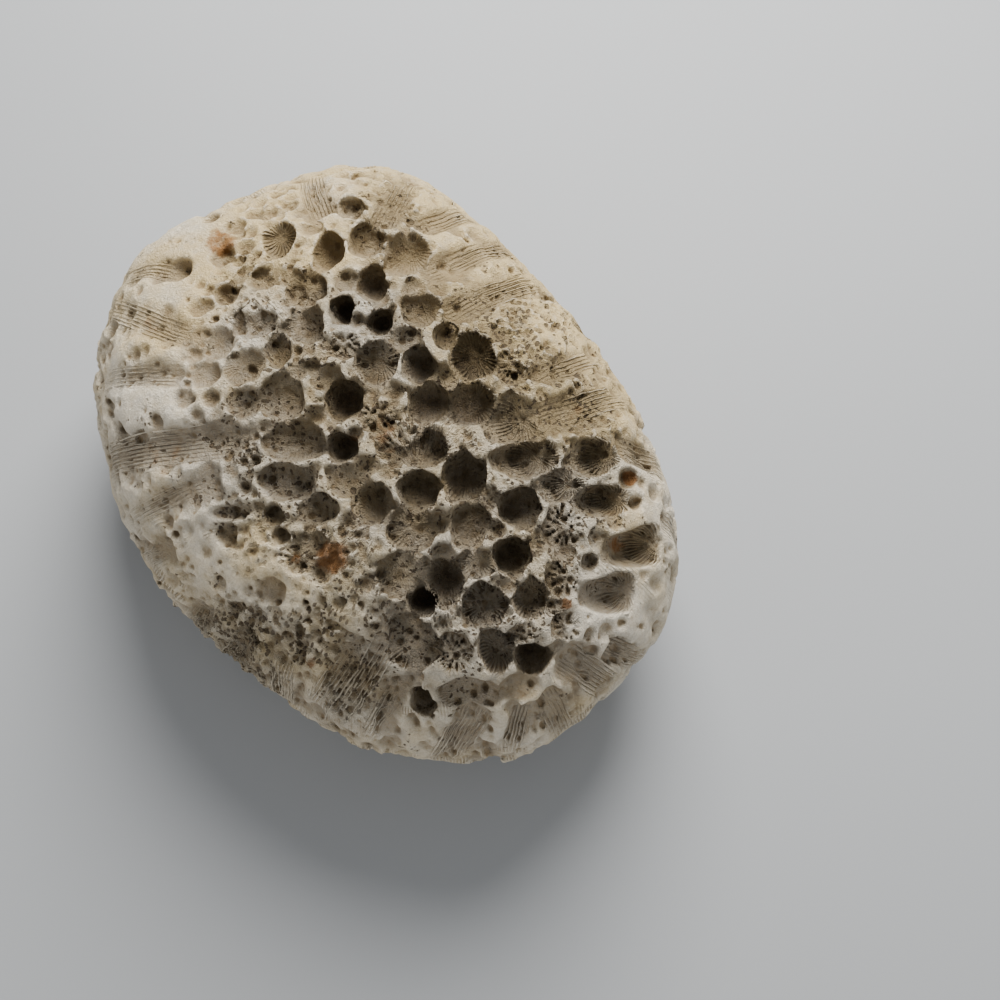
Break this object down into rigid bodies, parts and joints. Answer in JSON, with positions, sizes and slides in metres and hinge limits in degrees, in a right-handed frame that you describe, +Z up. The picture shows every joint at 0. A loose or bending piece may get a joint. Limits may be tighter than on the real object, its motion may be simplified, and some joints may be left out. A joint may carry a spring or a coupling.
{
  "type": "fossil coral head",
  "caption": "Worn, domed fossil coral head with round calices on its crown, tubes worn open down its flanks, and a flat base to rest on.",
  "frame": {"origin": "middle of the stone's box, at the flat base", "axes": "+Z up, square to the flat base, with the crown on top; +X to the right and +Y away, as the stone is seen from the front and above"},
  "size_m": [0.0594, 0.0636, 0.0347],
  "materials": {
    "chalky_stone": "matt and chalky, cream to grey, with tan streaks and small rust stains"
  },
  "bodies": {
    "root": {"coral_head": "chalky_stone"}
  },
  "joints": []
}
